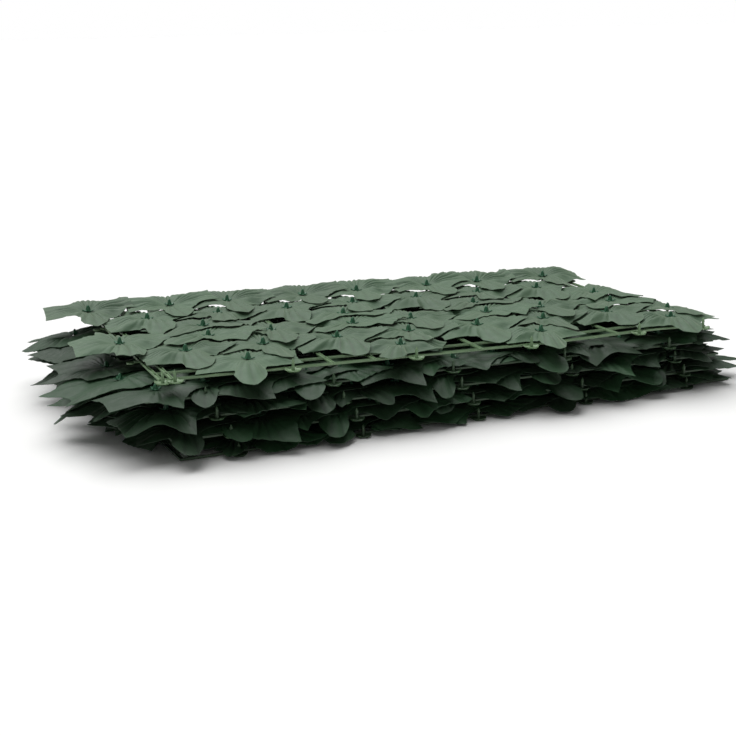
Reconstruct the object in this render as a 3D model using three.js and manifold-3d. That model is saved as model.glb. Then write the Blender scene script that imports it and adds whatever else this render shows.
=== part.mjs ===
// An artificial ivy leaf privacy screen, packed as a pile of its five panels, in millimetres.
// Each panel is a moulded lattice of thin bars. Pressed fabric leaves are pushed over its pegs,
// and a pointed star cap holds each leaf. +X runs along the panels, +Y from the near long edge
// to the far one, and +Z is up. The origin is under the middle of the pile, on the surface.

import * as THREE from 'three';
import { mergeVertices } from 'three/addons/utils/BufferGeometryUtils.js';
import Module from 'manifold-3d';

const wasm = await Module();
wasm.setup();

// The lattice is made of square units, four along and two across, trimmed at its right end
const UNIT = 250;
const COLUMNS = 4;
const ROWS = 2;
const START_X = -500;
const START_Y = -250;
const LEFT_END = -492; // the middle of the last bar at the left
const TOP_RIGHT_END = 441; // the top panel is a bar shorter than the others
const LOWER_RIGHT_END = 485;
const BAR_WIDTH = 6.5;
const BAR_HEIGHT = 4.5;
const CROSS_BARS = [25, 93]; // bars along Y, from the left side of a unit
const LONG_BARS = [20, 58, 143, 230]; // bars along X, from the near side of a unit
const END_PAIR = 17; // between the two bars that close each short end
const EYE_REACH = 18; // how far a long bar's end stands past the last cross bar
const EYE_ROWS = [-107, -20, 58, 143, 230];

// Round feet with a bare peg along the near long edge, where the next panel snaps on
const FOOT_RADIUS = 12.5;
const FOOT_HEIGHT = 3.7;
const FOOT_Y = -243;
const TOP_FEET = [-492, -474, -294, -93, 107, 307, 432];
const LOWER_FEET = [-408, -208, -8, 192, 392];
const BARE_PEG = { radius: 2.6, height: 17 };

// Leaves: where they sit in a unit, and how far each is turned in degrees
const LEAF_SITES = [
  { x: 152, y: 58, turn: 0 },
  { x: 78, y: 143, turn: 10 },
  { x: 203, y: 143, turn: 4 },
  { x: 139, y: 230, turn: 3 },
  { x: -5, y: 230, turn: 2 },
];

// The covered panels have more leaves along the near edge and at the left end. The bottom one has
// none at its near left corner
const EXTRA_SITES = [
  { x: -234, y: -192, turn: -2 },
  { x: 16, y: -192, turn: -50 },
  { x: 266, y: -192, turn: 10 },
  { x: -470, y: -192, turn: 20, isCorner: true },
  { x: -503, y: -107, turn: -12 },
  { x: -503, y: 143, turn: 8 },
];

// The cut outline of one leaf around its peg: lobe tips, blunt ends and the bays between them
const LEAF_OUTLINE = [
  { angle: -98, radius: 108 },
  { angle: -80, radius: 80 },
  { angle: -62, radius: 48 },
  { angle: -17, radius: 86 },
  { angle: 8, radius: 81 },
  { angle: 34, radius: 104 },
  { angle: 62, radius: 66 },
  { angle: 92, radius: 100 },
  { angle: 118, radius: 62 },
  { angle: 145, radius: 84 },
  { angle: 178, radius: 76 },
  { angle: 209, radius: 102 },
  { angle: 236, radius: 57 },
  { angle: 246, radius: 84 },
];
const LEAF_THICKNESS = 1;
const UNEVEN = { leastSize: 0.96, sizeSpread: 0.08 };
const TOP_TURN = { spread: 14, step: 6, most: 54 };
const COVERED_TURN = { spread: 360, step: 6, most: 180 };
const SIZE_STEPS = [1, 0.95, 0.9, 0.85, 0.8];
const CLEAR_OF_CAP = 12.5;
const CLEAR_OF_FOOT_PEG = 9;

// Top panel: each leaf leans so that it lies over the leaves nearer to the near left corner
const HUB_LIFT = 7.4;
const LEAN = { along: 0.014, across: 0.05, end: 0.07, far: 0.02 };
const FAR_ROW = { y: 230, lift: 5 };
const HOLE_RADIUS = 3.6;
const PEG_RADIUS = 3;
const CAP = { gap: 1.3, radius: 10, height: 2, spike: 19 };
const TONGUE_DROOP = 0.35;
const BOW = { x: 350, spread: 120, height: 6, from: -60 };

// Lower panels: their leaves are one joined cover each, held by spikes that carry the next panel
const SEAT_GAP = 0.3;
const SPIKE = { radius: 3, gap: 0.5, rim: 130 };
const RIM = { droop: 0.11, wave: 6, waveX: 34, waveY: 43, phaseX: 2.1, phaseY: 1.3, reach: 60 };

// The pile from the bottom up: how far each panel is pushed along and across, and turned, and the
// seed of its leaves' turns. Each panel also slopes a little more than the one under it, so the
// pile is lower at its right end
const PITCH = 27;
const SLOPE = 0.0046;
const PILE = [
  { along: 12, across: -2, turn: 2, seed: 99 },
  { along: 4, across: -4, turn: 1.5, seed: 307 },
  { along: -14, across: -2, turn: 1.2, seed: 214 },
  { along: -24, across: 2, turn: 0.5, seed: 124 },
  { along: 0, across: 0, turn: 0, seed: 131 },
];

const TOUCHING = 1e-3; // corners this close are one corner

const LATTICE_GREEN = '#7f9c70';
const LEAF_GREENS = ['#64785f', '#6a7f68', '#5d7260', '#708468'];
const SHADED_GREEN = '#2c4630';

// A repeatable row of numbers from 0 to 1
function series(seed) {
  let state = seed;
  return () => {
    state = (state * 16807) % 2147483647;
    return state / 2147483647;
  };
}

// How much higher the leaves of the far row sit
function liftAt(site) {
  return site.y === FAR_ROW.y ? FAR_ROW.lift : 0;
}

function bendUp(x, y) {
  const across = Math.max(0, (BOW.from - y) / (BOW.from - START_Y));
  return BOW.height * across * Math.exp(-(((x - BOW.x) / BOW.spread) ** 2));
}

function solidOf(geometry) {
  const bare = geometry.clone();
  bare.deleteAttribute('normal');
  bare.deleteAttribute('uv');
  const merged = mergeVertices(bare, TOUCHING);
  const corners = merged.index.array;
  const kept = [];
  for (let i = 0; i < corners.length; i += 3) {
    const [a, b, c] = corners.slice(i, i + 3);
    if (a !== b && b !== c && c !== a) kept.push(a, b, c);
  }
  const vertProperties = merged.attributes.position.array;
  return new wasm.Manifold(new wasm.Mesh({ numProp: 3, vertProperties, triVerts: Uint32Array.from(kept) }));
}

function geometryOf(solid) {
  const mesh = solid.getMesh();
  const geometry = new THREE.BufferGeometry();
  geometry.setAttribute('position', new THREE.BufferAttribute(mesh.vertProperties, mesh.numProp));
  geometry.setIndex(new THREE.BufferAttribute(mesh.triVerts, 1));
  geometry.computeVertexNormals();
  return geometry;
}

// A four-sided or rounder spindle from a profile of [radius, height] points, standing at x, y
function spindle(profile, sides, x, y) {
  const points = profile.map(([radius, height]) => new THREE.Vector2(radius, height));
  const geometry = new THREE.LatheGeometry(points, sides);
  geometry.rotateX(Math.PI / 2);
  geometry.translate(x, y, 0);
  return solidOf(geometry);
}

function spike(base, top, radius, x, y) {
  return spindle([[0, base], [radius, base], [0, top]], 4, x, y);
}

// The places of the leaves' pegs on one panel
function pegSites(extra) {
  const sites = [...extra];
  for (let row = 0; row < ROWS; row += 1) {
    for (let column = 0; column < COLUMNS; column += 1) {
      for (const place of LEAF_SITES) {
        const [x, y] = [START_X + UNIT * column + place.x, START_Y + UNIT * row + place.y];
        const isBareCorner = x > TOP_RIGHT_END && y > 0;
        if (!isBareCorner) sites.push({ x, y, turn: place.turn });
      }
    }
  }
  return sites;
}

function leafOutline(site, turn, size) {
  return LEAF_OUTLINE.map(({ angle, radius }) => {
    const a = THREE.MathUtils.degToRad(angle + turn);
    return new THREE.Vector2(site.x + size * radius * Math.cos(a), site.y + size * radius * Math.sin(a));
  });
}

function distanceToEdge(point, a, b) {
  const edge = b.clone().sub(a);
  const share = THREE.MathUtils.clamp(point.clone().sub(a).dot(edge) / edge.lengthSq(), 0, 1);
  return point.distanceTo(a.clone().addScaledVector(edge, share));
}

function isInside(point, outline) {
  let inside = false;
  outline.forEach((a, i) => {
    const b = outline[(i + 1) % outline.length];
    const crosses = a.y > point.y !== b.y > point.y;
    if (crosses && point.x < a.x + ((b.x - a.x) * (point.y - a.y)) / (b.y - a.y)) inside = !inside;
  });
  return inside;
}

function isClear(outline, site, pegs) {
  return pegs.every((peg) => {
    if (peg.x === site.x && peg.y === site.y) return true;
    const point = new THREE.Vector2(peg.x, peg.y);
    if (isInside(point, outline)) return false;
    return outline.every((a, i) => distanceToEdge(point, a, outline[(i + 1) % outline.length]) > peg.clear);
  });
}

// Turns each leaf at random, then further, or trims it, until no other peg is in its way
function panelLeaves(extra, feetX, seed, { spread, step, most }) {
  const random = series(seed);
  const turns = [0];
  for (let turn = step; turn <= most; turn += step) turns.push(-turn, turn);
  const sites = pegSites(extra);
  const pegs = sites.map(({ x, y }) => ({ x, y, clear: CLEAR_OF_CAP }));
  for (const x of feetX) pegs.push({ x, y: FOOT_Y, clear: CLEAR_OF_FOOT_PEG });
  return sites.map((site) => {
    const wish = site.turn + (random() - 0.5) * spread;
    const wishSize = UNEVEN.leastSize + random() * UNEVEN.sizeSpread;
    for (const size of SIZE_STEPS) {
      for (const turn of turns) {
        const outline = leafOutline(site, wish + turn, wishSize * size);
        if (isClear(outline, site, pegs)) return { ...site, outline };
      }
    }
    throw new Error(`no room for the leaf at ${site.x}, ${site.y}`);
  });
}

// A thin plate from flat triangles that share their corners, with its top at the given heights
function plate(triangles, heightAt, thickness) {
  const numbers = new Map();
  const flat = [];
  const indexOf = ([x, y]) => {
    const key = `${x.toFixed(2)},${y.toFixed(2)}`;
    if (!numbers.has(key)) {
      numbers.set(key, flat.length);
      flat.push([x, y]);
    }
    return numbers.get(key);
  };
  const faces = triangles.map((triangle) => triangle.map(indexOf));
  const count = flat.length;
  const positions = [];
  for (const drop of [0, thickness]) {
    for (const [x, y] of flat) positions.push(x, y, heightAt(x, y) - drop);
  }
  const edges = new Set(faces.flatMap(([a, b, c]) => [`${a} ${b}`, `${b} ${c}`, `${c} ${a}`]));
  const index = [];
  for (const [a, b, c] of faces) index.push(a, b, c, c + count, b + count, a + count);
  for (const edge of edges) {
    const [a, b] = edge.split(' ').map(Number);
    if (!edges.has(`${b} ${a}`)) index.push(b, a, a + count, b, a + count, b + count);
  }
  const geometry = new THREE.BufferGeometry();
  geometry.setAttribute('position', new THREE.Float32BufferAttribute(positions, 3));
  geometry.setIndex(index);
  geometry.computeVertexNormals();
  return geometry;
}

// Bars along both ways as one extruded frame with its gaps cut through. The long bars of the eyed
// rows stand out past the short ends
function latticeBars(crossBars, longBars, eyedRows) {
  const half = BAR_WIDTH / 2;
  const [left, right] = [crossBars.at(0) - half, crossBars.at(-1) + half];
  const [near, far] = [longBars.at(0) - half, longBars.at(-1) + half];
  const outline = new THREE.Shape();
  outline.moveTo(left, near);
  outline.lineTo(right, near);
  for (const y of eyedRows) endStub(outline, right, y, 1);
  outline.lineTo(right, far);
  outline.lineTo(left, far);
  for (const y of eyedRows.toReversed()) endStub(outline, left, y, -1);
  const gaps = [];
  for (let i = 1; i < crossBars.length; i += 1) {
    for (let j = 1; j < longBars.length; j += 1) {
      const [length, width] = [crossBars[i] - crossBars[i - 1], longBars[j] - longBars[j - 1]];
      const gap = new THREE.BoxGeometry(length - BAR_WIDTH, width - BAR_WIDTH, BAR_HEIGHT * 3);
      gap.translate(crossBars[i] - length / 2, longBars[j] - width / 2, BAR_HEIGHT / 2);
      gaps.push(solidOf(gap));
    }
  }
  const frame = new THREE.ExtrudeGeometry(outline, { depth: BAR_HEIGHT, bevelEnabled: false });
  return solidOf(frame).subtract(wasm.Manifold.union(gaps));
}

function endStub(shape, x, y, side) {
  const half = (BAR_WIDTH / 2) * side;
  shape.lineTo(x, y - half);
  shape.lineTo(x + EYE_REACH * side, y - half);
  shape.lineTo(x + EYE_REACH * side, y + half);
  shape.lineTo(x, y + half);
}

// The fine lattice has every bar. The plain one, for the covered panels, joins the closest pairs
function barPlaces(fine, rightEnd) {
  const cross = [];
  for (let column = 0; column < COLUMNS; column += 1) {
    for (const offset of CROSS_BARS) cross.push(START_X + UNIT * column + offset);
  }
  const long = LONG_BARS.map((y) => START_Y + y);
  const farLong = long.map((y) => y + UNIT);
  if (fine) {
    return { cross: [LEFT_END, ...cross, rightEnd - END_PAIR, rightEnd], long: [...long, ...farLong] };
  }
  return { cross: [LEFT_END, ...cross.slice(1), rightEnd], long: [...long, ...farLong.slice(1)] };
}

function feet(places, heightAt) {
  return places.flatMap((x) => {
    const low = heightAt(x, FOOT_Y) + (BAR_HEIGHT - FOOT_HEIGHT) / 2;
    const top = low + FOOT_HEIGHT;
    const disc = [[0, low], [FOOT_RADIUS, low], [FOOT_RADIUS, top], [0, top]];
    return [
      spindle(disc, 8, x, FOOT_Y),
      spike(low + 1, top + BARE_PEG.height, BARE_PEG.radius, x, FOOT_Y),
    ];
  });
}

function lowerLattice() {
  const { cross, long } = barPlaces(false, LOWER_RIGHT_END);
  return geometryOf(wasm.Manifold.union([latticeBars(cross, long, []), ...feet(LOWER_FEET, () => 0)]));
}

// The top lattice bows up a little at its near right corner. Its pegs and their star caps are one
// with it, since a cap is snapped on for good
function topLattice() {
  const { cross, long } = barPlaces(true, TOP_RIGHT_END);
  const bars = geometryOf(latticeBars(cross, long, EYE_ROWS));
  const position = bars.attributes.position;
  for (let i = 0; i < position.count; i += 1) {
    position.setZ(i, position.getZ(i) + bendUp(position.getX(i), position.getY(i)));
  }
  const pegs = pegSites([]).map((site) => {
    const base = bendUp(site.x, site.y);
    const star = base + BAR_HEIGHT + HUB_LIFT + liftAt(site) + CAP.gap;
    const profile = [
      [0, base + BAR_HEIGHT / 2],
      [PEG_RADIUS, base + BAR_HEIGHT / 2],
      [PEG_RADIUS, star],
      [CAP.radius, star + CAP.height / 2],
      [PEG_RADIUS, star + CAP.height],
      [0, star + CAP.spike],
    ];
    return spindle(profile, 4, site.x, site.y);
  });
  return geometryOf(wasm.Manifold.union([solidOf(bars), ...feet(TOP_FEET, bendUp), ...pegs]));
}

// How high a leaf of the top panel lies above its lattice at a point
function leafHeight(site, x, y) {
  const along = (x - site.x) * (site.x < LEFT_END ? LEAN.end : LEAN.along);
  const across = (site.y - y) * (site.y === FAR_ROW.y ? LEAN.far : LEAN.across);
  const droop = TONGUE_DROOP * Math.max(0, START_Y - y);
  return BAR_HEIGHT + HUB_LIFT + liftAt(site) + along + across + bendUp(x, y) - droop;
}

function topLeaf(leaf) {
  const hole = [0, 1, 2, 3].map((i) => {
    const a = (Math.PI / 2) * i;
    return new THREE.Vector2(leaf.x + HOLE_RADIUS * Math.cos(a), leaf.y + HOLE_RADIUS * Math.sin(a));
  });
  const points = [...leaf.outline, ...hole];
  const faces = THREE.ShapeUtils.triangulateShape(leaf.outline, [hole]);
  const triangles = faces.map((face) => face.map((i) => [points[i].x, points[i].y]));
  return plate(triangles, (x, y) => leafHeight(leaf, x, y), LEAF_THICKNESS);
}

// The joined leaves of a covered panel: level over its lattice, ragged and uneven past its edges
function cover(level, leaves) {
  const half = BAR_WIDTH / 2;
  const [left, right] = [LEFT_END - half, LOWER_RIGHT_END + half];
  const [near, far] = [START_Y + LONG_BARS[0] - half, START_Y + UNIT + LONG_BARS.at(-1) + half];
  const middle = new THREE.BoxGeometry(right - left, far - near, 4);
  middle.translate((left + right) / 2, (near + far) / 2, 0);
  const options = { depth: 1, bevelEnabled: false };
  const slabs = leaves.map(({ outline }) => {
    return solidOf(new THREE.ExtrudeGeometry(new THREE.Shape(outline), options));
  });
  const around = FOOT_RADIUS + SEAT_GAP * 3;
  const footHole = [[0, -1], [around, -1], [around, 2], [0, 2]];
  const cuts = [solidOf(middle), ...LOWER_FEET.map((x) => spindle(footHole, 8, x, FOOT_Y))];
  const lobes = wasm.Manifold.union(slabs).subtract(wasm.Manifold.union(cuts)).getMesh();
  const corner = (i) => [...lobes.vertProperties.slice(i * 3, i * 3 + 3)];
  const triangles = [];
  for (let i = 0; i < lobes.triVerts.length; i += 3) {
    const face = [...lobes.triVerts.slice(i, i + 3)].map(corner);
    const isUpper = face.every(([, , z]) => z > options.depth - TOUCHING);
    if (isUpper) triangles.push(face.map(([x, y]) => [x, y]));
  }
  const past = (x, y) => Math.max(0, left - x, x - right, near - y, y - far);
  const rim = triangles.flat().filter(([x, y]) => past(x, y) < TOUCHING);
  rim.push([left, near], [right, near], [right, far], [left, far]);
  const places = new Map(rim.map(([x, y]) => [`${x.toFixed(2)},${y.toFixed(2)}`, [x, y]]));
  const ring = [...places.values()].sort((a, b) => Math.atan2(a[1], a[0]) - Math.atan2(b[1], b[0]));
  ring.forEach((point, i) => triangles.push([[0, 0], point, ring[(i + 1) % ring.length]]));

  const top = BAR_HEIGHT + SEAT_GAP + LEAF_THICKNESS;
  const heightAt = (x, y) => {
    const out = past(x, y);
    const waveAlong = Math.sin(x / RIM.waveX + RIM.phaseX * level);
    const wave = RIM.wave * waveAlong * Math.cos(y / RIM.waveY + RIM.phaseY * level);
    const height = top - RIM.droop * out + wave * Math.min(1, out / RIM.reach);
    return level === 0 ? Math.max(height, LEAF_THICKNESS) : height;
  };
  const showsItsCap = ({ x, y }) => {
    const inset = Math.min(x - left, right - x, y - near, far - y);
    return inset > SPIKE.radius && inset < SPIKE.rim;
  };
  // The next panel slopes about its own middle, so pushing it along raises or lowers it
  const raised = (level + 1) * SLOPE * (PILE[level + 1].along - PILE[level].along);
  const spikes = leaves.filter(showsItsCap).map(({ x, y }) => {
    const reach = PITCH + raised - SLOPE * x - SPIKE.gap;
    return spike(top - LEAF_THICKNESS / 2, reach, SPIKE.radius, x, y);
  });
  const sheet = solidOf(plate(triangles, heightAt, LEAF_THICKNESS));
  return geometryOf(wasm.Manifold.union([sheet, ...spikes]));
}

function piece(name, geometry, color) {
  const material = new THREE.MeshStandardMaterial({ color, roughness: 0.6, metalness: 0 });
  const mesh = new THREE.Mesh(geometry, material);
  mesh.name = name;
  return mesh;
}

const screen = new THREE.Group();
PILE.forEach(({ along, across, turn, seed }, level) => {
  const panel = new THREE.Group();
  panel.position.set(along, across, level * PITCH);
  panel.rotation.set(0, level * Math.atan(SLOPE), THREE.MathUtils.degToRad(turn), 'YXZ');
  const isTop = level === PILE.length - 1;
  const extra = EXTRA_SITES.filter(({ isCorner }) => !isTop && !(isCorner && level === 0));
  const leaves = panelLeaves(extra, isTop ? TOP_FEET : LOWER_FEET, seed, isTop ? TOP_TURN : COVERED_TURN);
  panel.add(piece(`lattice_${level + 1}`, isTop ? topLattice() : lowerLattice(), LATTICE_GREEN));
  if (isTop) {
    leaves.forEach((leaf, i) => {
      const name = `leaf_${String(i + 1).padStart(2, '0')}`;
      panel.add(piece(name, topLeaf(leaf), LEAF_GREENS[i % LEAF_GREENS.length]));
    });
  } else {
    panel.add(piece(`leaves_${level + 1}`, cover(level, leaves), SHADED_GREEN));
  }
  screen.add(panel);
});

// Puts the middle of the pile's underside at the origin
screen.updateMatrixWorld(true);
const bounds = new THREE.Box3().setFromObject(screen, true);
const middle = bounds.getCenter(new THREE.Vector3());
screen.position.set(-middle.x, -middle.y, -bounds.min.z);

export default screen;
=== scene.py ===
"""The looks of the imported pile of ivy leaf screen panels, made around its CAD frame.

Each panel gets its ridged lattice, its pressed cloth leaves and its star caps. The leaves are laid one by
one over what is already below them, from the bottom panel up. Sizes in the tables are millimetres.
"""

import math

import bpy
import numpy as np
from mathutils import Matrix, Vector


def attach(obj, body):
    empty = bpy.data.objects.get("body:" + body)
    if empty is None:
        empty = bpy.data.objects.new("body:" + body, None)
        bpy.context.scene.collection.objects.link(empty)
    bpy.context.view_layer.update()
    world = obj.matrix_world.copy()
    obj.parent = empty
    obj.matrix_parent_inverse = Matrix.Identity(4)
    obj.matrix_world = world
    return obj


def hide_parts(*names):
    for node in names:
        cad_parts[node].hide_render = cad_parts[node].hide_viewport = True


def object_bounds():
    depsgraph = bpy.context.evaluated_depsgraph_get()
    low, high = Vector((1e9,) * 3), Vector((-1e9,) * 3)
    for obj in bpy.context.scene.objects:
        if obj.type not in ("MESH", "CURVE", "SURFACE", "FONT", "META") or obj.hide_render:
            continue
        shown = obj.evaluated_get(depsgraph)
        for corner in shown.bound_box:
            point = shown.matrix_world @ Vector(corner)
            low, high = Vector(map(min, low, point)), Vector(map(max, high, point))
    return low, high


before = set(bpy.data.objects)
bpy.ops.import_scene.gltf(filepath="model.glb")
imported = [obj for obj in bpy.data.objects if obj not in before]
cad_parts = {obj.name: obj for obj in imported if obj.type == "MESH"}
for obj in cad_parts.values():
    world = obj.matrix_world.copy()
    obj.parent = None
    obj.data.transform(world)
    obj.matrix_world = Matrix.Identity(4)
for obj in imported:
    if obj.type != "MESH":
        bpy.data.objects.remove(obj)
cad_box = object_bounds()

MM = 0.001

# The lattice of one panel, in square units, as the CAD has it
UNIT, COLUMNS, ROWS = 250, 4, 2
START_X, START_Y = -500, -250
LEFT_END, TOP_RIGHT_END, LOWER_RIGHT_END = -492, 441, 485
NEAR_EDGE = -236
BAR_WIDTH, BAR_HEIGHT = 6.5, 4.5
CROSS_BARS = (25, 93)
LONG_BARS = (20, 58, 143, 230)
END_PAIR = 17
EYE_ROWS = (-107, -20, 58, 143, 230)
EYE = {"reach": 13, "radius": 6.2, "hole": 2.3, "height": 3.2, "sides": 20}
RIGHT_EYE_REACH = 26  # on the covered panels
FOOT_Y = -243
TOP_FEET = (-492, -474, -294, -93, 107, 307, 432)
LOWER_FEET = (-408, -208, -8, 192, 392)
FAR_EDGE = START_Y + UNIT + LONG_BARS[-1] + BAR_WIDTH / 2

# Where the leaves' pegs stand in a unit, and each leaf's turn in degrees
LEAF_SITES = ((152, 58, 0), (78, 143, 10), (203, 143, 4), (139, 230, 3), (-5, 230, 2))
CORNER_SITE = (-470, -192, 20)
EXTRA_SITES = (
    (-234, -192, -2), (16, -192, -50), (266, -192, 10),
    CORNER_SITE, (-503, -107, -12), (-503, 143, 8),
)

# One leaf's cut outline around its peg: angle, radius, and whether the cut turns sharply there
LEAF_OUTLINE = (
    (-98, 108, False), (-80, 80, False), (-62, 48, False), (-17, 86, True), (8, 81, False),
    (34, 104, True), (62, 66, False), (92, 100, True), (118, 62, False), (145, 84, True),
    (178, 76, False), (209, 102, True), (236, 57, False), (246, 84, False),
)
LOBES = (-98, 10, 92, 178)
CURVE_STEPS = 12  # points on each stretch of the cut
BAY_HANDLE, TIP_HANDLE = 0.36, 0.3  # how far the cut's curves reach from a bay and from a sharp tip
CLOTH = 0.5
PEG_HOLE = 2.6

# Ranges are a least value and the spread above it
LEAF_SIZE = (0.96, 0.08)
# How a leaf is pressed: folds fan along its lobes, each lobe is arched, and its rim waves
FOLD_STEP = 12.5  # degrees between the folds of a lobe
FOLD_SPAN = 33  # degrees from a lobe's middle at which its folds fade
FOLD_HEIGHT = 3.8
FOLD_FROM, FOLD_FULL = 8, 42  # distances from the peg between which the folds rise
FOLD_STRENGTH = (0.55, 0.75)
TWIST = 14  # degrees between the most left and the most right twist round the peg
RING_POWER = 0.85  # under 1, so the rings lie closer together towards the rim
TOP_ARCH, COVERED_ARCH = 5.5, 4.5
ARCH_SHARE = (0.7, 0.6)
CURL = (1, 3)
RIM_WAVES = ((2, 2.6), (3, 2.4), (5, 2.2), (8, 1.4))  # how many round the rim, and how high
WAVE_LEAST = 0.4
# Points round a leaf and from its peg to its rim
TOP_GRID, RIM_GRID, HIDDEN_GRID = (144, 11), (84, 7), (36, 5)
RIM_DEPTH = 125  # leaves of a covered panel that stand deeper than this don't show

# More, smaller leaves of the covered panels stand on the second bars from their long edges
SKIRT_PLACES = (-410, -291, -166, -41, 84, 209, 334, 440)
SKIRT_ROWS = (-192, 200)
SKIRT_SHIFT = 30
SKIRT_SIZE = (0.78, 0.1)
# The search for each leaf's turn and size, in degrees and shares, as the CAD makes it
TOP_TURN = {"spread": 14, "step": 6, "most": 54}
COVERED_TURN = {"spread": 360, "step": 6, "most": 180}
SIZE_STEPS = (1, 0.95, 0.9, 0.85, 0.8)
CLEAR_OF_CAP, CLEAR_OF_FOOT_PEG = 12.5, 9

# The near right leaves are laid first and the far left ones last, those past the left end later still
LEAN = {"along": 0.014, "across": 0.05, "end": 0.07}
LEAF_TILT = 0.012
FAR_ROW = {"y": 230, "lift": 1}
# Past the far edge the top's leaves arch up and then hang
FAR_CREST = {"height": 8, "past": 30, "spread": 30, "hangs_past": 45}
# Past the other edges the leaves hang down, more or less far
TOP_DROOP, COVERED_DROOP = (0.15, 0.6), (0.2, 0.75)
TOP_HANGS_FROM, COVERED_HANGS_FROM = START_Y + 16, START_Y + 14
RIGHT_FALL = 0.22
LEFT_SHARE, OTHER_SHARE = 0.5, 0.4  # of the droop at the near edge, for the covered panels
HANG_SOFTNESS = 22
# How much of their length the leaves of each panel reach past its left and near edges, bottom panel first
REACH = (
    {"left": 0.6, "near": 0.7}, {"left": 0.85, "near": 0.9}, {"left": 1.05, "near": 1},
    {"left": 1.15, "near": 1}, {"left": 1, "near": 1},
)
TOP_HUB, LOWER_HUB = 7.4, 4.2
BOW = {"x": 350, "spread": 120, "height": 6, "from": -60}

# The pile: each panel's push along and across, its turn, and the seed of its leaves' turns
PITCH, SLOPE = 27, 0.0046
PILE = ((12, -2, 2, 99), (4, -4, 1.5, 307), (-14, -2, 1.2, 214), (-24, 2, 0.5, 124), (0, 0, 0, 131))
PILE_MIDDLE = (32.956, -15.465)  # moves the pile's box over the origin, as in the CAD
TOP = len(PILE) - 1
LAY_SEED, LAY_SEED_STEP = 101, 17  # of how the leaves of each panel are pressed

# The camera stands where the photograph was taken from
CAMERA = {
    "place": (-0.9084, -2.1675, 0.6394), "ahead": (0.3610, 0.8981, -0.2513),
    "right": (0.9260, -0.3770, -0.0170), "lens": 68.4,
}
LAMP = {"toward": (0.15, -0.35, -1), "angle": 75, "energy": 2.9}


def series(seed):
    """A repeatable row of numbers from 0 to 1."""
    state = seed
    while True:
        state = state * 16807 % 2147483647
        yield state / 2147483647


def drawn(chance, span):
    """The next number within a range, given as its least value and its spread."""
    least, spread = span
    return least + spread * next(chance)


def panel_place(level):
    along, across, turn, _ = PILE[level]
    return (
        Matrix.Translation((PILE_MIDDLE[0] + along, PILE_MIDDLE[1] + across, level * PITCH))
        @ Matrix.Rotation(level * math.atan(SLOPE), 4, "Y")
        @ Matrix.Rotation(math.radians(turn), 4, "Z")
    )


def to_pile(points, level):
    """Moves points of a panel to their place in the pile."""
    place = np.array(panel_place(level))
    return points @ place[:3, :3].T + place[:3, 3]


def bend_up(x, y):
    """The top lattice bows up at its near right corner."""
    across = np.maximum(0, (BOW["from"] - y) / (BOW["from"] - START_Y))
    return BOW["height"] * across * np.exp(-(((x - BOW["x"]) / BOW["spread"]) ** 2))


# Where the leaves go


def peg_sites(extra):
    """All the leaf pegs of a panel. The far right unit has none past the right end."""
    sites = list(extra)
    for row in range(ROWS):
        for column in range(COLUMNS):
            for x, y, turn in LEAF_SITES:
                x, y = START_X + UNIT * column + x, START_Y + UNIT * row + y
                if not (x > TOP_RIGHT_END and y > 0):
                    sites.append((x, y, turn))
    return sites


def straight_outline(x, y, turn, size):
    """The corners of a leaf's cut, as the CAD has them."""
    angles = np.radians([angle + turn for angle, _, _ in LEAF_OUTLINE])
    radii = size * np.array([radius for _, radius, _ in LEAF_OUTLINE])
    return np.stack([x + radii * np.cos(angles), y + radii * np.sin(angles)], -1)


def is_clear(outline, pegs):
    """Whether the cut misses all the other pegs, given as x, y and how far off it has to stay."""
    a, b = outline, np.roll(outline, -1, 0)
    p, clear = pegs[:, None, :2], pegs[:, None, 2]
    edge = b - a
    share = np.clip(((p - a) * edge).sum(-1) / (edge**2).sum(-1), 0, 1)
    off = np.linalg.norm(p - (a + share[..., None] * edge), axis=-1)
    rises = np.where(b[:, 1] == a[:, 1], 1e-9, b[:, 1] - a[:, 1])
    crosses = (a[:, 1] > p[..., 1]) != (b[:, 1] > p[..., 1])
    crosses &= p[..., 0] < a[:, 0] + (b[:, 0] - a[:, 0]) * (p[..., 1] - a[:, 1]) / rises
    return not (crosses.sum(1) % 2).any() and (off > clear).all()


def panel_leaves(level):
    """Each leaf's peg, its turn and its size, found the same way as the CAD finds them."""
    is_top = level == TOP
    chance = series(PILE[level][-1])
    way = TOP_TURN if is_top else COVERED_TURN
    turns = [0]
    for more in range(way["step"], way["most"] + 1, way["step"]):
        turns += [-more, more]
    extra = [site for site in EXTRA_SITES if not is_top and not (site == CORNER_SITE and level == 0)]
    sites = peg_sites(extra)
    pegs = [(x, y, CLEAR_OF_CAP) for x, y, _ in sites]
    pegs += [(x, FOOT_Y, CLEAR_OF_FOOT_PEG) for x in (TOP_FEET if is_top else LOWER_FEET)]
    pegs = np.array(pegs, float)
    found = []
    for x, y, turn in sites:
        others = pegs[(pegs[:, 0] != x) | (pegs[:, 1] != y)]
        wish = turn + (next(chance) - 0.5) * way["spread"]
        size = drawn(chance, LEAF_SIZE)
        tries = ((wish + more, size * part) for part in SIZE_STEPS for more in turns)
        fits = next(t for t in tries if is_clear(straight_outline(x, y, *t), others))
        found.append({"x": x, "y": y, "turn": fits[0], "size": fits[1]})
    for y in () if is_top else SKIRT_ROWS:
        for place in SKIRT_PLACES:
            x = place + SKIRT_SHIFT * (next(chance) - 0.5)
            turn = 360 * next(chance)
            found.append({"x": x, "y": y, "turn": turn, "size": drawn(chance, SKIRT_SIZE)})
    return found


# One leaf


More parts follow.
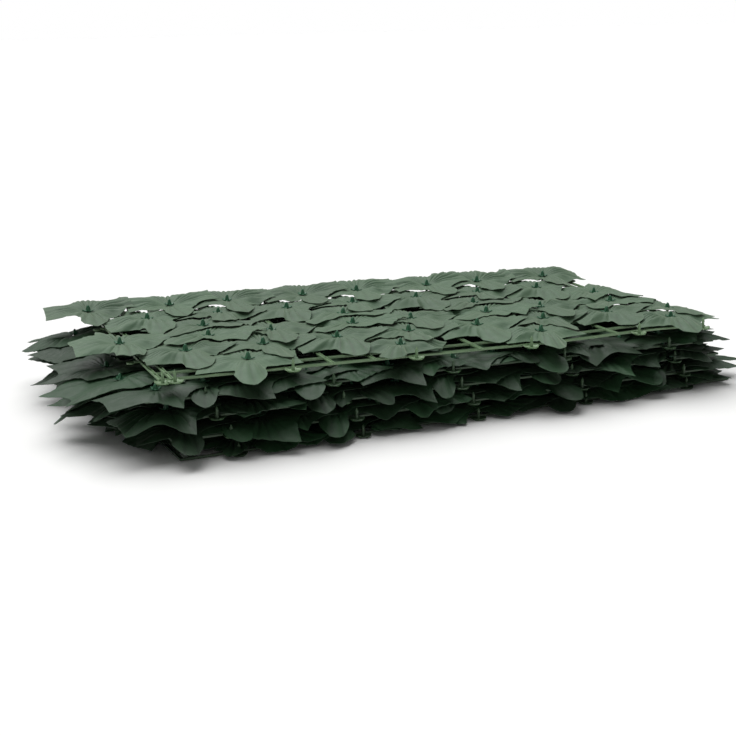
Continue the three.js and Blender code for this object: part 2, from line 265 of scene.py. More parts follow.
def cut_curve():
    """The leaf's cut as a fine closed line: curved through the bays, sharp at the tips."""
    angles = np.radians([angle for angle, _, _ in LEAF_OUTLINE])
    radii = np.array([radius for _, radius, _ in LEAF_OUTLINE], float)
    corners = np.stack([radii * np.cos(angles), radii * np.sin(angles)], -1)
    count = len(corners)
    line = []
    for i in range(count):
        a, b = corners[i], corners[(i + 1) % count]
        reach = np.linalg.norm(b - a) * BAY_HANDLE
        handles = []
        for j, end, toward in ((i, a, b), ((i + 1) % count, b, a)):
            if LEAF_OUTLINE[j][2]:
                handles.append(end + (toward - end) * TIP_HANDLE)
            else:
                way = corners[(j + 1) % count] - corners[j - 1]
                way = way / np.linalg.norm(way) * reach
                handles.append(end + way if end is a else end - way)
        for t in np.linspace(0, 1, CURVE_STEPS, endpoint=False):
            s = 1 - t
            line.append(s**3 * a + 3 * s * s * t * handles[0] + 3 * s * t * t * handles[1] + t**3 * b)
    return np.array(line)


CUT_LINE = cut_curve()
CUT_ANGLES = np.degrees(np.unwrap(np.arctan2(CUT_LINE[:, 1], CUT_LINE[:, 0])))
CUT_RADII = np.linalg.norm(CUT_LINE, axis=1)


def cut_radius(angles):
    """How far the cut is from the peg in these directions."""
    start = CUT_ANGLES[0]
    return np.interp((angles - start) % 360, CUT_ANGLES - start, CUT_RADII, period=360)


def ray_angles(rays):
    """Evenly spaced rays, with the nearest one moved onto each sharp tip."""
    angles = np.arange(rays) * 360 / rays
    for tip, _, sharp in LEAF_OUTLINE:
        if sharp:
            off = (angles - tip + 180) % 360 - 180
            angles[np.abs(off).argmin()] = tip % 360
    return angles


def ease(low, high, values):
    """0 below low, 1 above high, and a smooth step between."""
    t = np.clip((values - low) / (high - low), 0, 1)
    return t * t * (3 - 2 * t)


def waved(rise, chance, at_rim, share):
    """A leaf's rise with slow waves in it that grow from the peg to the rim."""
    for count, height in RIM_WAVES:
        size = height * (WAVE_LEAST + next(chance))
        start = math.tau * next(chance)
        rise = rise + size * share**2 * np.sin(np.radians(count * at_rim) + start)
    return rise


def pressed_leaf(leaf, rays, rings, chance, arch, curl, reach):
    """The leaf's own shape over a flat bed: x, y, rise above the bed, folds, place on the cut and ring."""
    at_rim = ray_angles(rays)
    twist = (next(chance) - 0.5) * TWIST
    shares = np.linspace(0, 1, rings) ** RING_POWER
    share = shares[:, None] * np.ones(rays)
    angle = at_rim - twist * (1 - share**2)
    radius = PEG_HOLE + (leaf["size"] * cut_radius(at_rim) - PEG_HOLE) * share
    off = (at_rim[:, None] - twist - np.array(LOBES) + 180) % 360 - 180
    lobe = np.abs(off).argmin(1)
    off = off[np.arange(rays), lobe]

    # Each fold is a sharp valley between round crests, deepest along the middle of its lobe
    pressed = np.array([drawn(chance, FOLD_STRENGTH) for _ in LOBES])[lobe]
    crest = np.abs(np.sin(np.pi * off / FOLD_STEP))
    crest = 1 - (1 - crest) * np.exp(-((off / FOLD_SPAN) ** 4))
    folds = FOLD_HEIGHT * pressed * crest * ease(FOLD_FROM, FOLD_FULL, radius) * (1 - 0.5 * share**4)

    # Each lobe is arched along its length and across it, and its tip curls down
    heights = np.array([arch * drawn(chance, ARCH_SHARE) for _ in LOBES])[lobe]
    across = 0.55 + 0.45 * np.cos(np.radians(2 * off))
    rise = heights * np.sin(np.pi * np.minimum(1, share**0.9)) * across
    rise += 0.35 * heights * share - curl * share**3
    rise = waved(rise, chance, at_rim, share)

    a = np.radians(angle + leaf["turn"])
    x, y = leaf["x"] + radius * np.cos(a), leaf["y"] + radius * np.sin(a)
    x = np.where(x < LEFT_END, LEFT_END + (x - LEFT_END) * reach["left"], x)
    y = np.where(y < START_Y, START_Y + (y - START_Y) * reach["near"], y)
    flat = np.radians(angle)
    cut = np.stack([radius * np.cos(flat), radius * np.sin(flat)], -1)
    return {"x": x, "y": y, "rise": rise, "folds": folds, "crest": crest * np.ones_like(share),
            "cut": cut, "share": share}


def hang(past):
    """How far a leaf would hang down for each unit of droop, past an edge: slowly at first."""
    past = np.maximum(0, past)
    return past * past / (past + HANG_SOFTNESS)


def bed_height(leaf, x, y, level, droop):
    """How high the leaf lies above its lattice before it meets anything."""
    if level == TOP:
        hub = BAR_HEIGHT + (TOP_HUB + FAR_ROW["lift"] * (leaf["y"] == FAR_ROW["y"]))
        past_far = y - FAR_EDGE
        crest = FAR_CREST["height"] * np.exp(-(((past_far - FAR_CREST["past"]) / FAR_CREST["spread"]) ** 2))
        height = hub + (leaf["y"] - y) * LEAF_TILT + crest + bend_up(x, y)
        height -= droop * hang(TOP_HANGS_FROM - y)
        height -= RIGHT_FALL * np.maximum(0, x - TOP_RIGHT_END)
        return height - hang(past_far - FAR_CREST["hangs_past"])
    height = BAR_HEIGHT + LOWER_HUB + (leaf["y"] - y) * LEAF_TILT
    height -= droop * (hang(COVERED_HANGS_FROM - y) + LEFT_SHARE * hang(LEFT_END - x))
    return height - OTHER_SHARE * droop * (hang(x - LOWER_RIGHT_END) + hang(y - FAR_EDGE))


def is_over_lattice(x, y, level):
    """1 well over the lattice, 0 past its edges."""
    right = TOP_RIGHT_END if level == TOP else LOWER_RIGHT_END
    inset = np.minimum(np.minimum(x - LEFT_END, right - x), np.minimum(y - NEAR_EDGE, FAR_EDGE - y))
    return ease(-6, 10, inset)


# The pile's surface so far, which each leaf is laid over

CELL = 3.0  # the size of one square of the surface
MARGIN = 40  # how far it goes past the CAD's box
FLOOR = 0.4  # the lowest height at which a leaf is laid
AIR = 0.3
DEEPEST_RIM = 10  # how far a leaf's rim over its lattice sinks below its middle
LAID_FROM, LAID_BY = 0.45, 0.95  # shares of the way to the rim between which a leaf comes to lie down
SMOOTHINGS, FREE_SMOOTHINGS = 9, 3
LOW = np.array(cad_box[0]) / MM - MARGIN
CELLS = np.ceil((np.array(cad_box[1]) / MM + MARGIN - LOW) / CELL).astype(int)[:2]
surface = np.full(CELLS, FLOOR)


def cells_of(x, y):
    """The squares of the surface under these points."""
    i = np.clip(((x - LOW[0]) / CELL).astype(int), 0, CELLS[0] - 1)
    j = np.clip(((y - LOW[1]) / CELL).astype(int), 0, CELLS[1] - 1)
    return i, j


def finer(grid, times):
    """A grid of points with more rings and rays between its own."""
    rings, rays = grid.shape[:2]
    at = np.linspace(0, rings - 1, (rings - 1) * times + 1)
    low = np.minimum(at.astype(int), rings - 2)
    part = (at - low)[:, None, None]
    grid = grid[low] * (1 - part) + grid[low + 1] * part
    at = np.arange(rays * times) / times
    low = at.astype(int)
    part = (at - low)[None, :, None]
    return grid[:, low] * (1 - part) + grid[:, (low + 1) % rays] * part


def raise_surface(points):
    """Lifts the surface to these points, wherever they are above it."""
    points = points.reshape(-1, 3)
    i, j = cells_of(points[:, 0], points[:, 1])
    np.maximum.at(surface, (i, j), points[:, 2])


def lattice_to_surface(level, right_end):
    """The whole bed of a lattice, so that no leaf sinks between its bars."""
    step = 2.0
    along = np.arange(LEFT_END - 4, right_end + 5, step)
    across = np.arange(NEAR_EDGE + 2, FAR_EDGE + 1, step)
    x, y = np.meshgrid(along, across)
    z = BAR_HEIGHT + (bend_up(x, y) if level == TOP else 0 * x)
    raise_surface(to_pile(np.stack([x, y, z], -1).reshape(-1, 3), level))


def laid(grid, share, over, hub):
    """The grid of a leaf, let down onto what is under its rim, raised where something is in its way."""
    wide = surface.copy()
    for axis in (0, 1):
        for step in (-1, 1):
            wide = np.maximum(wide, np.roll(surface, step, axis))
    i, j = cells_of(grid[..., 0], grid[..., 1])
    floor_z = wide[i, j] + CLOTH + AIR
    z = grid[..., 2]
    down = ease(LAID_FROM, LAID_BY, share) * over
    z = z + (np.maximum(floor_z, hub - DEEPEST_RIM) - z) * down
    for step in range(SMOOTHINGS):
        padded = np.pad(z, ((1, 1), (0, 0)), mode="edge")
        around = (padded[:-2] + padded[2:] + np.roll(z, 1, 1) + np.roll(z, -1, 1)) / 4
        smooth = np.where(share > 0.05, 0.5 * z + 0.5 * around, z)
        z = smooth if step < FREE_SMOOTHINGS else np.maximum(smooth, floor_z)
    grid = grid.copy()
    grid[..., 2] = np.maximum(z, floor_z)
    return grid


# Meshes


class Shape:
    """Points and faces that grow piece by piece into one mesh."""

    def __init__(self):
        self.points = []
        self.faces = []
        self.count = 0
        self.marks = {}

    def add(self, points, faces, **marks):
        """Adds points with their faces, and named values for each point."""
        points = np.asarray(points, float).reshape(-1, 3)
        self.points.append(points)
        self.faces += [[i + self.count for i in face] for face in faces]
        self.count += len(points)
        for name, values in marks.items():
            self.marks.setdefault(name, []).append(np.asarray(values, float))


def make_piece(name, shape, material, sharp=50):
    """Makes a shape into a piece that rides the part. Edges above the sharp angle stay hard."""
    mesh = bpy.data.meshes.new(name)
    points = np.concatenate(shape.points) * MM
    mesh.from_pydata(points.tolist(), [], shape.faces)
    mesh.polygons.foreach_set("use_smooth", [True] * len(mesh.polygons))
    mesh.set_sharp_from_angle(angle=math.radians(sharp))
    for mark, values in shape.marks.items():
        values = np.concatenate(values)
        kind = "FLOAT_VECTOR" if values.ndim == 2 else "FLOAT"
        layer = mesh.attributes.new(mark, kind, "POINT")
        layer.data.foreach_set("vector" if values.ndim == 2 else "value", values.ravel())
    mesh.materials.append(material)
    mesh.validate()
    thing = bpy.data.objects.new(name, mesh)
    bpy.context.scene.collection.objects.link(thing)
    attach(thing, "root")
    return thing


def cloth_faces(rings, rays):
    """A thin closed leaf: its upper grid, the same below, and the cut edges between them."""
    total = rings * rays
    ring, ray = np.meshgrid(np.arange(rings - 1), np.arange(rays), indexing="ij")
    after = (ray + 1) % rays
    a, b = ring * rays + ray, ring * rays + after
    c, d = b + rays, a + rays
    upper = np.stack([a, d, c, b], -1).reshape(-1, 4)
    outer = np.stack([d[-1] + total, c[-1] + total, c[-1], d[-1]], -1)
    inner = np.stack([b[0] + total, a[0] + total, a[0], b[0]], -1)
    return np.concatenate([upper, upper[:, ::-1] + total, outer, inner]).tolist()


def add_leaf(shape, grid, cloth, tone):
    """Adds one leaf with what its material reads: place on the cut, folds, nearness to the rim and tone."""
    rings, rays = cloth["share"].shape
    under = grid - np.array((0, 0, CLOTH))
    flat = np.concatenate([cloth["cut"], np.zeros((rings, rays, 1))], -1).reshape(-1, 3) * MM
    shape.add(
        np.concatenate([grid.reshape(-1, 3), under.reshape(-1, 3)]), cloth_faces(rings, rays),
        cut_place=np.tile(flat, (2, 1)), fold=np.tile(cloth["crest"].ravel(), 2),
        rim=np.tile(cloth["share"].ravel(), 2), tone=np.full(rings * rays * 2, tone),
    )


def band_faces(rings, around, closed=False):
    """The faces between each ring of points and the next one, and back to the first if closed."""
    faces = []
    for n in range(rings if closed else rings - 1):
        m = (n + 1) % rings
        for j in range(around):
            k = (j + 1) % around
            faces.append([n * around + j, n * around + k, m * around + k, m * around + j])
    return faces


def ring_points(x, y, angle, radius, height):
    """Points round a place, with one radius and height for all of them or one for each."""
    height = np.broadcast_to(height, angle.shape)
    return np.stack([x + radius * np.cos(angle), y + radius * np.sin(angle), height], -1)


def add_sweep(shape, path, level):
    """Sweeps the section of a bar along a level path of the panel."""
    path = np.asarray(path, float)
    way = np.gradient(path, axis=0)
    way[:, 2] = 0
    way /= np.linalg.norm(way, axis=1)[:, None]
    side = np.stack([-way[:, 1], way[:, 0], 0 * way[:, 0]], -1)
    section = np.array(BAR_SECTION)
    rows = path[:, None] + side[:, None] * section[None, :, :1] + np.array((0, 0, 1)) * section[None, :, 1:]
    count, around = len(path), len(section)
    faces = band_faces(count, around)
    faces.append(list(range(around))[::-1])
    faces.append([(count - 1) * around + j for j in range(around)])
    shape.add(to_pile(rows.reshape(-1, 3), level), faces)


def add_turned(shape, x, y, profile, sides, level, wave=None):
    """Turns a profile of (radius, height) points round a peg. wave changes the radius and height round it."""
    angle = np.arange(sides) * math.tau / sides
    rings, ends = [], []
    for n, (radius, height) in enumerate(profile):
        if radius == 0:
            ends.append((n, (x, y, height)))
            continue
        if wave:
            radius, height = wave(n, angle, radius, height)
        rings.append(ring_points(x, y, angle, radius, height))
    points = np.concatenate(rings + [np.array([p]) for _, p in ends])
    faces = band_faces(len(rings), sides)
    base = len(rings) * sides
    for n, (place, _) in enumerate(ends):
        first = 0 if place == 0 else (len(rings) - 1) * sides
        for j in range(sides):
            k = (j + 1) % sides
            pair = [first + k, first + j] if place == 0 else [first + j, first + k]
            faces.append([*pair, base + n])
    shape.add(to_pile(points, level), faces)


# The moulded lattice

# A bar is moulded as a shallow channel: two ridges with a groove between them
BAR_SECTION = (
    (-3.0, 1.3), (3.0, 1.3), (3.25, 3.6), (2.8, 4.4), (1.9, 4.4), (1.3, 2.6),
    (-1.3, 2.6), (-1.9, 4.4), (-2.8, 4.4), (-3.25, 3.6),
)
TOP_BAR_POINTS, LOWER_BAR_POINTS = 34, 3  # the top's bars bow, the others are straight
LINK_FROM = 9  # how far from a foot's middle its link to the lattice starts
ARM_REACH, END_ARM_REACH = 16, 8  # of the short bar that carries a leaf's peg
NEAR_END = 14  # pegs this near to the left end have the shorter bar


def lattice(level):
    """One panel's lattice, with its eyes, feet and pegs."""
    is_top = level == TOP
    right_end = TOP_RIGHT_END if is_top else LOWER_RIGHT_END
    right_reach = EYE["reach"] if is_top else RIGHT_EYE_REACH
    shape = Shape()
    low, high = START_Y + LONG_BARS[0], START_Y + UNIT + LONG_BARS[-1]
    cross = [LEFT_END] + [START_X + UNIT * c + o for c in range(COLUMNS) for o in CROSS_BARS]
    cross += [right_end - END_PAIR, right_end]
    long = [START_Y + UNIT * r + o for r in range(ROWS) for o in LONG_BARS]

    def raised(xs, ys):
        xs, ys = np.broadcast_arrays(np.asarray(xs, float), np.asarray(ys, float))
        return np.stack([xs, ys, bend_up(xs, ys) if is_top else 0 * xs], -1)

    def bar_with_steps(low, high):
        return np.linspace(low, high, TOP_BAR_POINTS if is_top else LOWER_BAR_POINTS)

    half = BAR_WIDTH / 2
    for x in cross:
        add_sweep(shape, raised(x, bar_with_steps(low - half, high + half)), level)
    for y in long:
        ends = (LEFT_END - half, right_end + half)
        if y in EYE_ROWS:
            ends = (ends[0] - EYE["reach"] + EYE["radius"] - 1, ends[1] + right_reach - EYE["radius"] + 1)
        add_sweep(shape, raised(bar_with_steps(*ends), y), level)
    for y in EYE_ROWS:
        for x in (LEFT_END - half - EYE["reach"], right_end + half + right_reach):
            add_eye(shape, x, y, level)
    for x in TOP_FEET if is_top else LOWER_FEET:
        base = float(bend_up(x, FOOT_Y)) if is_top else 0
        add_foot(shape, x, base, level)
        link = [(x, FOOT_Y + LINK_FROM, base), (x, low, float(raised(x, low)[2]))]
        add_sweep(shape, link, level)
    for leaf in leaves_of[level]:
        base = float(bend_up(leaf["x"], leaf["y"])) if is_top else 0
        add_peg(shape, leaf, base, level)
    return shape


def add_eye(shape, x, y, level):
    """A flat ring on the end of a long bar, for a tie."""
    hole, rim, high = EYE["hole"], EYE["radius"], EYE["height"]
    profile = (
        (hole, 0.2), (rim - 0.4, 0.2), (rim, 0.6), (rim, high - 0.5), (rim - 0.6, high),
        (hole + 0.9, high), (hole, high - 0.6),
    )
    angle = np.arange(EYE["sides"]) * math.tau / EYE["sides"]
    points = np.concatenate([ring_points(x, y, angle, r, h) for r, h in profile])
    if level == TOP:
        points[:, 2] += bend_up(points[:, 0], points[:, 1])
    shape.add(to_pile(points, level), band_faces(len(profile), EYE["sides"], closed=True))


def petals(n, angle, r, h):
    """Five soft petals round the cup of a foot, more towards its rim."""
    if n not in (2, 3, 4, 5):
        return r, h
    lobe = np.cos(5 * angle)
    return r * (1 + 0.07 * lobe), h + (0.9 * lobe if n in (3, 4) else 0)


def add_foot(shape, x, base, level):
    """A shallow cup with a pointed peg, for the next panel to snap on."""
    cup = (
        (0, 0.4), (6, 0.4), (10.5, 1.2), (12.3, 3.4), (11.7, 3.9),
        (9.8, 2.6), (5.4, 1.8), (3.3, 2.2), (0, 2.4),
    )
    peg = ((0, 1.4), (2.9, 1.4), (2.6, 4), (2.1, 12), (2.7, 13.2), (2.3, 15), (0.7, 19.6), (0, 20.2))
    add_turned(shape, x, FOOT_Y, [(r, h + base) for r, h in cup], 30, level, petals)
    add_turned(shape, x, FOOT_Y, [(r, h + base) for r, h in peg], 12, level)


def add_peg(shape, leaf, base, level):
    """The round peg under a leaf, with a boss on the lattice, standing up through the cloth."""
    top = leaf["hub"] + 0.8
    boss = (
        (0, base + 0.3), (5.2, base + 0.3), (5.2, base + 3.6), (4.2, base + 4.4), (2.4, base + 4.6),
        (2.4, top), (0, top),
    )
    add_turned(shape, leaf["x"], leaf["y"], boss, 12, level)
    reach = END_ARM_REACH if abs(leaf["x"] - LEFT_END) <= NEAR_END else ARM_REACH
    arm = [(leaf["x"] - reach, leaf["y"], base), (leaf["x"] + reach, leaf["y"], base)]
    add_sweep(shape, arm, level)


# Star caps


CAP_SIDES = 32
CAP_NOTCH, CAP_POINT, POINT_LIFT = 4.6, 11, 2.6
# The cap's profile above its base, from the star's underside to the spike's tip
CAP_PROFILE = (
    (0, 0), (4, 0.1), (4.2, 0.6), (4, 1.2), (4.1, 1.9),
    (3.9, 2.6), (3.3, 5.5), (2.5, 8.8), (1.6, 10.8), (0, 12),
)
STAR_RINGS, FLUTED_RINGS = (1, 2, 3), (5, 6, 7)
STAR_SHARES = (1, 1.02, 0.97)
COVERED_CAP_HEIGHT = 0.84  # as a share, because the next panel presses on it


def add_cap(shape, leaf, turn, level):
    """A four-pointed star, turned up at its points, with a fluted spike."""
    base = leaf["hub"] + 0.7

    def star(n, angle, radius, height):
        if n in STAR_RINGS:
            point = np.abs(np.cos(2 * (angle - turn))) ** 3
            reach = CAP_NOTCH + (CAP_POINT - CAP_NOTCH) * point
            return reach * STAR_SHARES[n - 1], height + POINT_LIFT * point
        if n in FLUTED_RINGS:
            radius = radius * (1 + 0.16 * np.cos(4 * (angle - turn)))
        return radius, height

    tall = 1 if level == TOP else COVERED_CAP_HEIGHT
    profile = [(radius, base + height * tall) for radius, height in CAP_PROFILE]
    add_turned(shape, leaf["x"], leaf["y"], profile, CAP_SIDES, level, star)


# Materials


def hex_to_linear(text):
    """An sRGB colour such as #406343 as linear red, green, blue and alpha."""
    values = [int(text[i:i + 2], 16) / 255 for i in (1, 3, 5)]
    return [v / 12.92 if v <= 0.04045 else ((v + 0.055) / 1.055) ** 2.4 for v in values] + [1.0]


def new_material(name):
    """A new material with its node tree and its surface node."""
    material = bpy.data.materials.new(name)
    material.use_nodes = True
    material.diffuse_color = hex_to_linear("#4a6450")
    return material, material.node_tree, material.node_tree.nodes["Principled BSDF"]


def add_node(tree, kind, settings=None, **links):
    """Adds a node, sets it and links its inputs. A link is a socket or a plain value."""
    node = tree.nodes.new(kind)
    for name, value in (settings or {}).items():
        setattr(node, name, value)
    for name, value in links.items():
        socket = node.inputs[int(name[1:])] if name[1:].isdigit() else node.inputs[name.replace("_", " ")]
        if isinstance(value, bpy.types.NodeSocket):
            tree.links.new(value, socket)
        else:
            socket.default_value = value
    return node


def blend_colours(tree, share, first, second, way="MIX"):
    """A share of the second colour over the first."""
    settings = {"data_type": "RGBA", "blend_type": way}
    return add_node(tree, "ShaderNodeMix", settings, i0=share, i6=first, i7=second).outputs[2]


def attribute(tree, name, output="Fac"):
    """What a leaf's mesh says about each of its points."""
    return add_node(tree, "ShaderNodeAttribute", {"attribute_name": name}).outputs[output]


def pressed_polyester_cloth(name, deep, mid, pale, sheen):
    """Woven polyester, pressed hot into folds: dull, with a soft veil of sheen, and painted shade in the
    creases.
    """
    material, tree, surface_node = new_material(name)
    place = attribute(tree, "cut_place", "Vector")
    tone = attribute(tree, "tone")
    fold = attribute(tree, "fold")
    rim = attribute(tree, "rim")
    # Dye blotches about 40 mm across
    blotch = add_node(tree, "ShaderNodeTexNoise", {}, Vector=place, Scale=25.0, Detail=3.0, Roughness=0.55)
    body = blend_colours(tree, tone, hex_to_linear(deep), hex_to_linear(pale))
    body = blend_colours(tree, blotch.outputs["Fac"], hex_to_linear(mid), body)
    # Painted shade: a dark line in the valley of each fold, where shade falls, so the crests look paler
    painted_crease_shade = add_node(tree, "ShaderNodeMapRange", {}, Value=fold, i1=0.0, i2=0.55, i3=0.62, i4=1.0)
    body = blend_colours(tree, 1.0, body, painted_crease_shade.outputs["Result"], "MULTIPLY")
    # The rim is rubbed a little paler
    edge = add_node(tree, "ShaderNodeMapRange", {}, Value=rim, i1=0.9, i2=1.0, i3=1.0, i4=1.12)
    body = blend_colours(tree, 1.0, body, edge.outputs["Result"], "MULTIPLY")
    tree.links.new(body, surface_node.inputs["Base Color"])
    # Threads 0.5 mm apart, drawn every 1.6 mm so that they show
    threads = []
    for way in ("X", "Y"):
        bands = {"wave_type": "BANDS", "bands_direction": way}
        wave = add_node(
            tree, "ShaderNodeTexWave", bands, Vector=place, Scale=100.0, Distortion=0.4, Detail=1.0)
        threads.append(wave.outputs["Fac"])
    weave = add_node(tree, "ShaderNodeMath", {"operation": "MULTIPLY"}, i0=threads[0], i1=threads[1])
    rumple = add_node(tree, "ShaderNodeTexNoise", {}, Vector=place, Scale=70.0, Detail=2.0)
    fine = add_node(tree, "ShaderNodeBump", {}, Strength=0.25, Distance=0.0002, Height=weave.outputs["Value"])
    worn = add_node(
        tree, "ShaderNodeBump", {}, Strength=0.5, Distance=0.0012, Height=rumple.outputs["Fac"],
        Normal=fine.outputs["Normal"],
    )
    tree.links.new(worn.outputs["Normal"], surface_node.inputs["Normal"])
    dull = add_node(
        tree, "ShaderNodeMapRange", {}, Value=rumple.outputs["Fac"], i1=0.3, i2=0.7, i3=0.5, i4=0.62)
    tree.links.new(dull.outputs["Result"], surface_node.inputs["Roughness"])
    surface_node.inputs["IOR"].default_value = 1.5
    surface_node.inputs["Sheen Weight"].default_value = sheen
    surface_node.inputs["Sheen Roughness"].default_value = 0.5
    surface_node.inputs["Sheen Tint"].default_value = hex_to_linear("#d8e6ce")
    return material


def moulded_polyethylene(name, colour, shade, rough):
    """Moulded polyethylene: waxy, slightly cloudy, with faint flow marks along the bars."""
    material, tree, surface_node = new_material(name)
    place = add_node(tree, "ShaderNodeTexCoord").outputs["Object"]
    # Cloudy patches about 30 mm long and flow marks about 2 mm apart
    cloud = add_node(tree, "ShaderNodeTexNoise", {}, Vector=place, Scale=33.0, Detail=4.0)
    body = blend_colours(tree, cloud.outputs["Fac"], hex_to_linear(shade), hex_to_linear(colour))
    tree.links.new(body, surface_node.inputs["Base Color"])
    marks = add_node(tree, "ShaderNodeTexNoise", {}, Vector=place, Scale=500.0, Detail=2.0)
    relief = add_node(tree, "ShaderNodeBump", {}, Strength=0.3, Distance=0.0003, Height=marks.outputs["Fac"])
    tree.links.new(relief.outputs["Normal"], surface_node.inputs["Normal"])
    dull = add_node(
        tree, "ShaderNodeMapRange", {}, Value=cloud.outputs["Fac"], i1=0.3, i2=0.7, i3=rough, i4=rough + 0.1)
    tree.links.new(dull.outputs["Result"], surface_node.inputs["Roughness"])
    surface_node.inputs["IOR"].default_value = 1.51
    surface_node.inputs["Subsurface Weight"].default_value = 0.12
    surface_node.inputs["Subsurface Radius"].default_value = (0.002, 0.003, 0.0015)
    return material


LEAF_CLOTH = pressed_polyester_cloth("pressed_polyester_leaf_cloth", "#2a4a2c", "#34553a", "#406343", 0.5)
# Painted shade: the covered panels' leaves take a darker copy of the same cloth, with almost no sheen,
# because they lie in shade
COVERED_CLOTH_PAINTED_SHADE = pressed_polyester_cloth(
    "pressed_polyester_painted_shade_cloth", "#0d2410", "#143218", "#1f4b27", 0.05)
LATTICE_PLASTIC = moulded_polyethylene("moulded_polyethylene_lattice", "#7a946f", "#5c7a56", 0.38)
# Painted shade: the covered panels' lattices take a darker copy of the same plastic, because they lie in
# shade
COVERED_PLASTIC_PAINTED_SHADE = moulded_polyethylene("moulded_polyethylene_painted_shade_lattice", "#3b5438", "#2a4029", 0.42)
CAP_PLASTIC = moulded_polyethylene("moulded_polyethylene_caps", "#2f6b48", "#215238", 0.3)


# The pile

leaves_of = [panel_leaves(level) for level in range(len(PILE))]


def lay_order(leaf):
    """Low for the leaves that are laid first."""
    along = LEAN["end"] if leaf["x"] < LEFT_END else LEAN["along"]
    return LEAN["across"] * leaf["y"] - along * leaf["x"]


def grid_size(leaf, level):
    """How many points the leaf's mesh has round it and from its peg to its rim."""
    if level == TOP:
        return TOP_GRID
    inset = min(leaf["x"] - LEFT_END, LOWER_RIGHT_END - leaf["x"], leaf["y"] - START_Y, FAR_EDGE - leaf["y"])
    return RIM_GRID if inset < RIM_DEPTH else HIDDEN_GRID


def lay_leaf(leaf, level, chance):
    """One leaf, laid over the pile, with what its mesh needs. Its peg's height is kept for its cap."""
    is_top = level == TOP
    rays, rings = grid_size(leaf, level)
    curl = drawn(chance, CURL)
    droop = drawn(chance, TOP_DROOP if is_top else COVERED_DROOP)
    arch = TOP_ARCH if is_top else COVERED_ARCH
    made = pressed_leaf(leaf, rays, rings, chance, arch, curl, REACH[level])
    x, y, share = made["x"], made["y"], made["share"]
    bed = bed_height(leaf, x, y, level, droop)
    grid = to_pile(np.stack([x, y, bed + made["rise"]], -1).reshape(-1, 3), level).reshape(rings, rays, 3)
    hub = grid[0, :, 2].mean()
    grid = laid(grid, share, is_over_lattice(x, y, level), hub)
    grid[..., 2] += made["folds"]
    raise_surface(finer(grid, 3 if is_top else 4))
    middle = grid[0].mean(0)
    back = np.linalg.inv(np.array(panel_place(level))) @ np.array([*middle, 1])
    leaf["hub"] = float(back[2])
    return grid, made


def build_panel(level):
    """One panel of the pile: its leaves are laid, then its lattice and caps are fitted to them."""
    is_top = level == TOP
    lattice_to_surface(level, TOP_RIGHT_END if is_top else LOWER_RIGHT_END)
    chance = series(LAY_SEED + LAY_SEED_STEP * level)
    leaves = leaves_of[level]
    cover = Shape()
    made = {}
    for number in sorted(range(len(leaves)), key=lambda n: lay_order(leaves[n])):
        leaf = leaves[number]
        grid, cloth = lay_leaf(leaf, level, chance)
        shape = Shape() if is_top else cover
        add_leaf(shape, grid, cloth, next(chance))
        made[number] = shape
    # The covered panels take the darker lattice plastic, which is painted shade
    plastic = LATTICE_PLASTIC if is_top else COVERED_PLASTIC_PAINTED_SHADE
    bars = make_piece(f"lattice_panel_{level + 1}", lattice(level), plastic, 40)
    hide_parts(f"lattice_{level + 1}")
    caps = Shape()
    for leaf in leaves:
        add_cap(caps, leaf, math.tau * next(chance), level)
    caps = make_piece(f"star_caps_{level + 1}", caps, CAP_PLASTIC, 40)
    if is_top:
        for number, single in sorted(made.items()):
            thing = make_piece(f"ivy_leaf_{number + 1:02d}", single, LEAF_CLOTH)
            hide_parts(f"leaf_{number + 1:02d}")
    else:
        # Painted shade: the covered leaves take the darker copy of the cloth
        thing = make_piece(f"ivy_leaves_{level + 1}", cover, COVERED_CLOTH_PAINTED_SHADE)
        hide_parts(f"leaves_{level + 1}")


for level in range(len(PILE)):
    build_panel(level)


# Floor, light and camera


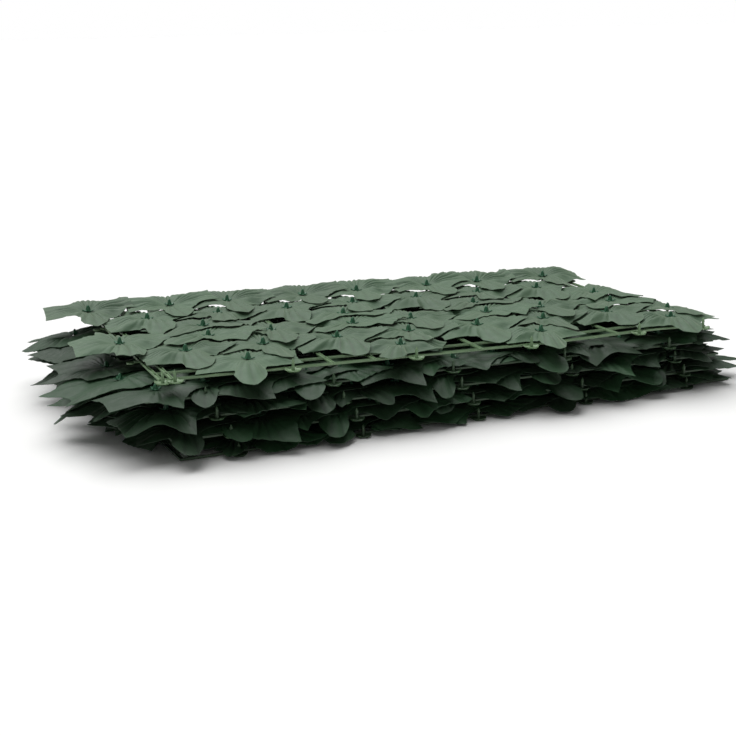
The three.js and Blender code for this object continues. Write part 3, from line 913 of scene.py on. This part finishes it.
def pale_floor():
    """A plain pale floor, in metres."""
    size = 30.0
    corners = [(-size, -size, 0), (size, -size, 0), (size, size, 0), (-size, size, 0)]
    mesh = bpy.data.meshes.new("floor")
    mesh.from_pydata(corners, [], [(0, 1, 2, 3)])
    material, _, surface_node = new_material("matt_white_floor_paint")
    surface_node.inputs["Base Color"].default_value = hex_to_linear("#fafaf9")
    surface_node.inputs["Roughness"].default_value = 0.9
    surface_node.inputs["Specular IOR Level"].default_value = 0.1
    mesh.materials.append(material)
    floor = bpy.data.objects.new("floor", mesh)
    bpy.context.scene.collection.objects.link(floor)


def studio():
    """A pale floor under soft light from above and behind, with the walls bright only near the floor."""
    pale_floor()
    world = bpy.data.worlds.new("studio")
    world.use_nodes = True
    tree = world.node_tree
    ways = add_node(tree, "ShaderNodeTexCoord").outputs["Generated"]
    up = add_node(tree, "ShaderNodeSeparateXYZ", {}, Vector=ways).outputs["Z"]
    glow = add_node(tree, "ShaderNodeMapRange", {}, Value=up, i1=0.03, i2=0.12, i3=1.0, i4=0.25)
    back = tree.nodes["Background"]
    back.inputs["Color"].default_value = (1, 1, 1, 1)
    tree.links.new(glow.outputs["Result"], back.inputs["Strength"])
    bpy.context.scene.world = world
    lamp = bpy.data.lights.new("overhead_softbox", "SUN")
    lamp.angle = math.radians(LAMP["angle"])
    lamp.energy = LAMP["energy"]
    thing = bpy.data.objects.new("overhead_softbox", lamp)
    thing.rotation_euler = Vector(LAMP["toward"]).to_track_quat("-Z", "Y").to_euler()
    bpy.context.scene.collection.objects.link(thing)
    bpy.context.scene.view_settings.view_transform = "Standard"


def camera():
    """The photograph's view, in metres."""
    lens = bpy.data.cameras.new("camera")
    lens.lens = CAMERA["lens"]
    lens.sensor_width = 36
    lens.clip_start = 0.05
    thing = bpy.data.objects.new("camera", lens)
    ahead = Vector(CAMERA["ahead"]).normalized()
    right = Vector(CAMERA["right"])
    right = (right - ahead * right.dot(ahead)).normalized()
    up = right.cross(ahead)
    turn = Matrix((right, up, -ahead)).transposed().to_4x4()
    thing.matrix_world = Matrix.Translation(CAMERA["place"]) @ turn
    bpy.context.scene.collection.objects.link(thing)
    bpy.context.scene.camera = thing


studio()
camera()
